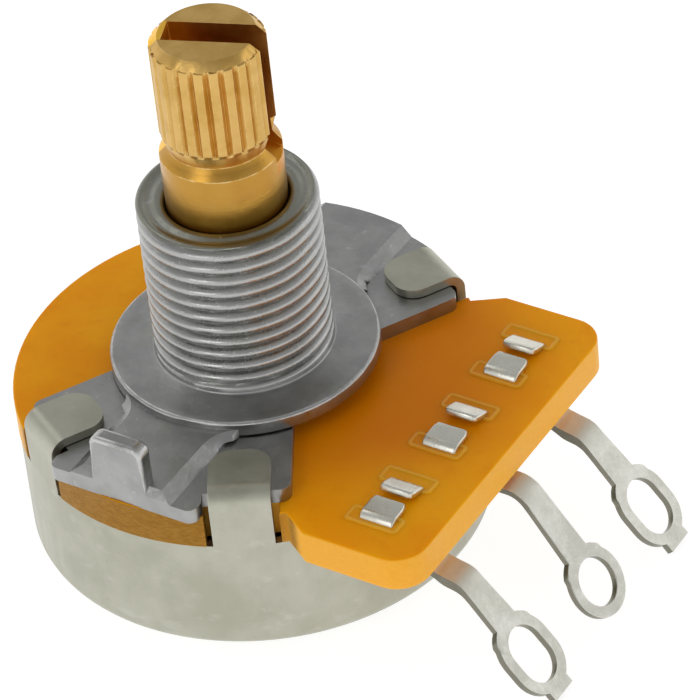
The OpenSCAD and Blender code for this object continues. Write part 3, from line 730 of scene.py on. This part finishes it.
def board():
    bm = merged_copy("element_board")

    def outline(p):
        outside = from_axis(p) > 12.0 and (p.y < -11 or p.x > -10)
        near_slot = abs(p.y - CLINCH_Y) < 1.7 and abs(p.x) < 9
        return outside and not near_slot

    ease(bm, corners(bm, 60, lambda p: outline(p) and p.z > BOARD_TOP - 0.1), 0.60, 6)
    ease(bm, corners(bm, 60, lambda p: outline(p) and p.z < BOARD_LOW + 0.1), 0.32, 4)
    ease(bm, corners(bm, 60, lambda p: not outline(p)), 0.08, 2)
    for place in (-1, 0, 1):
        for side in (-1, 1):
            lip(bm, place * LUG_PITCH + side * LIP_OFFSET, CLINCH_Y - 0.06)
    bmesh.ops.recalc_face_normals(bm, faces=bm.faces)
    make_piece(bm, "phenolic_board", "housing", board_orange, ["element_board"])


# Terminals

def clinch(bm, loop, side, shift, lean, reach):
    """Raises a tang from its cut end in the slot, curls it inward and gives it a rounded tip."""
    face = bmesh.ops.edgeloop_fill(bm, edges=loop)["faces"][0]
    middle = face.calc_center_median().copy()
    for v in face.verts:
        v.co.y = middle.y - TANG_SET * MM + (v.co.y - middle.y) * TANG_WIDTH
        v.co.x += shift * MM
    middle = face.calc_center_median().copy()

    def raised(vec):
        nonlocal face
        made = bmesh.ops.extrude_face_region(bm, geom=[face])["geom"]
        if face.is_valid:
            bmesh.ops.delete(bm, geom=[face], context="FACES_ONLY")
        face = next(g for g in made if isinstance(g, bmesh.types.BMFace))
        bmesh.ops.translate(bm, verts=face.verts[:], vec=vec)

    raised((0, 0, TANG_RISE * MM))
    centre = Vector((middle.x - side * TANG_CURL_R * MM, middle.y, middle.z + TANG_RISE * MM))
    curl = Matrix.Rotation(math.radians(-side * lean / TANG_STEPS), 3, "Y")
    for _ in range(TANG_STEPS):
        raised((0, 0, 0))
        bmesh.ops.rotate(bm, verts=face.verts[:], cent=centre, matrix=curl)
    along = Vector((-side * math.sin(math.radians(lean)), 0, math.cos(math.radians(lean))))
    for share, width in TANG_TIP:
        raised(along * reach * share * MM)
        y = face.calc_center_median().y
        for v in face.verts:
            v.co.y = y + (v.co.y - y) * width


def joggle(y, first, low, last, depth):
    """How far a lug is set down at a place along it: it drops from first and comes back by last."""
    drop = clamped((first - y) / 0.8)
    back = clamped((low - y) / (low - last)) if last else 0
    return depth * smooth_step(drop) * (1 - smooth_step(back))


def slim_eye(bm, x, slope, eye, hole, stretch):
    """Draws the ring round a lug's eye in to a slimmer wall."""
    down = Vector((0, -math.cos(slope), -math.sin(slope)))
    for v in bm.verts:
        p = v.co / MM - Vector((x, 0, 0))
        if p.y > -17:
            continue
        u = (p - Vector((0, *eye))).dot(down)
        nearest = min(max(u, -stretch / 2), stretch / 2)
        out = math.hypot(u - nearest, p.x)
        if out < hole + 0.03:
            new = out + 0.05
        elif out > hole + 0.7 and u > -stretch / 2 - hole * 0.9:
            new = out - 0.13
        else:
            continue
        scale = new / out
        v.co.x = (x + p.x * scale) * MM
        v.co += down * ((u - nearest) * (scale - 1)) * MM


def set_strap(bm, x, bend):
    """Sets the lug down beyond the board's edge and draws its strap in to a slimmer width."""
    for i in range(STRAP_CUTS):
        cut_level(bm, (0, STRAP_START - STRAP_CUT_STEP * i, 0), (0, -1, 0))
    for v in bm.verts:
        y = v.co.y / MM
        v.co.z -= joggle(y, *bend) * MM
        slimmer = clamped((STRAP_START - y) / 0.9) * clamped((y - STRAP_END) / 0.4)
        if abs(v.co.x / MM - x) < STRAP_HALF:
            v.co.x = (x + (v.co.x / MM - x) * (1 - STRAP_SLIMMER * slimmer)) * MM


def terminal(node, place, rim, slope, eye, hole, stretch, bend):
    """A lug with its strap, eye and tangs, one tang lying flat and one leaning towards it."""
    bm = merged_copy(node)
    x = place * LUG_PITCH
    slim_eye(bm, x, math.radians(slope), eye, hole, stretch)
    set_strap(bm, x, bend)
    ease(bm, corners(bm, 40, lambda p: p.y < -14.2), rim, 4)
    cut_level(bm, (0, 0, TANG_CUT_Z), (0, 0, 1), clear=True)
    ends = [e for e in bm.edges if e.is_boundary]
    left = [e for e in ends if edge_middle(e).x < x]
    right = [e for e in ends if edge_middle(e).x > x]
    clinch(bm, left, -1, -0.05, 88, 1.15)
    clinch(bm, right, 1, -0.45 if place else -0.15, 70, 1.05)
    bmesh.ops.recalc_face_normals(bm, faces=bm.faces)
    ease(bm, corners(bm, 50, lambda p: p.z > BOARD_TOP - 0.3), 0.16, 4)
    make_piece(bm, node + "_lug", "housing", lug_tin, [node])


# Back cover

def blend_tab_foot(bm, turn):
    """Curves the foot of a tab to the cup's wall, so that it rises from it without a step."""
    out = Vector((math.cos(math.radians(turn)), math.sin(math.radians(turn)), 0))
    side = Vector((-out.y, out.x, 0))

    def spot(v):
        """Distance outward, distance across the tab and height, in millimetres."""
        return out.dot(v.co) / MM, side.dot(v.co) / MM, v.co.z / MM

    def near(v):
        q, w, z = spot(v)
        return q > 11.5 and abs(w) < TAB_W / 2 + 0.05 and z > -4.6

    def cut(point, normal):
        faces = [f for f in bm.faces if any(near(v) for v in f.verts)]
        edges = {e for f in faces for e in f.edges}
        verts = {v for f in faces for v in f.verts}
        bmesh.ops.bisect_plane(
            bm, geom=list(verts) + list(edges) + faces, dist=1e-7, plane_co=point, plane_no=normal
        )

    for i in range(-4, 5):
        cut(side * (i * 0.38 * MM), side)
    for z in (-3.4, -3.0):
        cut((0, 0, z * MM), (0, 0, 1))
    flat = math.sqrt(CUP_R ** 2 - (TAB_W / 2) ** 2) + 0.03
    for v in bm.verts:
        q, w, z = spot(v)
        on_face = abs(q - flat) < 0.012 and abs(w) < TAB_W / 2 + 0.01
        if on_face and BOARD_LOW - 0.01 < z < TAB_BLEND_TOP:
            share = clamped((TAB_BLEND_TOP - z) / (TAB_BLEND_TOP - BOARD_LOW))
            arc = math.sqrt(CUP_R ** 2 - w * w)
            v.co += out * ((arc - flat) * smooth_step(share) * MM)


def cover():
    bm = merged_copy("back_cover")
    for turn in (TAB_ANGLE, 180 - TAB_ANGLE, 180 + TAB_ANGLE, 360 - TAB_ANGLE):
        blend_tab_foot(bm, turn)
    bmesh.ops.remove_doubles(bm, verts=bm.verts, dist=0.035 * MM)
    bmesh.ops.dissolve_degenerate(bm, dist=0.002 * MM, edges=bm.edges)
    ease(bm, corners(bm, 40), 0.08, 3)
    make_piece(bm, "can", "housing", tin, ["back_cover"])


shaft()
casting()
board()
terminal("terminal_left", -1, **OUTER_LUG)
terminal("terminal_centre", 0, **CENTRE_LUG)
terminal("terminal_right", 1, **OUTER_LUG)
cover()


# Studio

def direction(turn, rise):
    """The direction that is turned and raised by so many radians, from the front, at -Y."""
    level = math.cos(rise)
    return Vector((math.sin(turn) * level, -math.cos(turn) * level, math.sin(rise)))


def photo_camera():
    """The photograph's viewpoint: turned and raised, rolled, and far away on a long lens."""
    turn, rise, roll = (math.radians(a) for a in (PHOTO_TURN, PHOTO_RISE, PHOTO_ROLL))
    back = direction(turn, rise)
    right = Vector((math.cos(turn), math.sin(turn), 0))
    up = back.cross(right)
    c, s = math.cos(roll), math.sin(roll)
    seen = Matrix(((c, -s, 0), (s, c, 0), (0, 0, 1))) @ Matrix((right, -up, -back))
    data = bpy.data.cameras.new("photo_camera")
    data.sensor_width = SENSOR
    data.lens = SENSOR * PHOTO_FOCAL / PHOTO_WIDTH
    data.clip_start, data.clip_end = 0.01, 20
    camera = bpy.data.objects.new("photo_camera", data)
    bpy.context.scene.collection.objects.link(camera)
    turned = Matrix((seen[0], -seen[1], -seen[2])).transposed()
    place = -(seen.transposed() @ (Vector(PHOTO_AWAY) * MM))
    camera.matrix_world = Matrix.Translation(place) @ turned.to_4x4()
    bpy.context.scene.camera = camera


def pale_floor():
    """A white floor just under the part's lowest point."""
    bm = bmesh.new()
    bmesh.ops.create_grid(bm, x_segments=1, y_segments=1, size=3.0)
    bmesh.ops.translate(bm, verts=bm.verts, vec=(0, 0, cad_box[0].z - 0.02 * MM))
    mesh = bpy.data.meshes.new("floor")
    bm.to_mesh(mesh)
    bm.free()
    f = Finish("white_sweep", Roughness=0.9)
    f.to("Base Color", (0.45, 0.45, 0.45, 1))
    f.to("Emission Color", (1, 1, 1, 1))
    f.to("Emission Strength", 0.80)
    f.shader.inputs["Specular IOR Level"].default_value = 0.0
    mesh.materials.append(f.material)
    floor = bpy.data.objects.new("floor", mesh)
    bpy.context.scene.collection.objects.link(floor)


def softbox(name, turn, rise, size, power):
    """A square area light that faces the part from a direction in degrees."""
    away = direction(math.radians(turn), math.radians(rise))
    data = bpy.data.lights.new(name, "AREA")
    data.shape = "RECTANGLE"
    data.size = data.size_y = size
    data.energy = power
    light = bpy.data.objects.new(name, data)
    facing = away.to_track_quat("Z", "Y").to_matrix().to_4x4()
    light.matrix_world = Matrix.Translation(away * LAMP_DISTANCE) @ facing
    bpy.context.scene.collection.objects.link(light)


def studio_sky():
    """A soft surround: pale low down, grey higher up."""
    world = bpy.data.worlds.new("studio")
    bpy.context.scene.world = world
    world.use_nodes = True
    nodes, links = world.node_tree.nodes, world.node_tree.links
    place = nodes.new("ShaderNodeTexCoord")
    split = nodes.new("ShaderNodeSeparateXYZ")
    links.new(place.outputs["Generated"], split.inputs[0])
    ramp = nodes.new("ShaderNodeValToRGB")
    links.new(split.outputs[2], ramp.inputs[0])
    low, high = ramp.color_ramp.elements
    low.position, low.color = 0.0, (0.95, 0.95, 0.95, 1)
    high.position, high.color = 1.0, (0.40, 0.40, 0.40, 1)
    for height, tone in ((0.30, 0.80), (0.55, 0.46), (0.75, 0.40)):
        ramp.color_ramp.elements.new(height).color = (tone, tone, tone, 1)
    links.new(ramp.outputs[0], nodes["Background"].inputs[0])
    nodes["Background"].inputs[1].default_value = 1.12


photo_camera()
pale_floor()
softbox("side", -100, 35, 0.16, 0.15)
softbox("front_right", 44, 24, 0.20, 0.07)
softbox("behind", 170, 50, 0.18, 0.08)
studio_sky()
bpy.context.scene.view_settings.view_transform = "Standard"
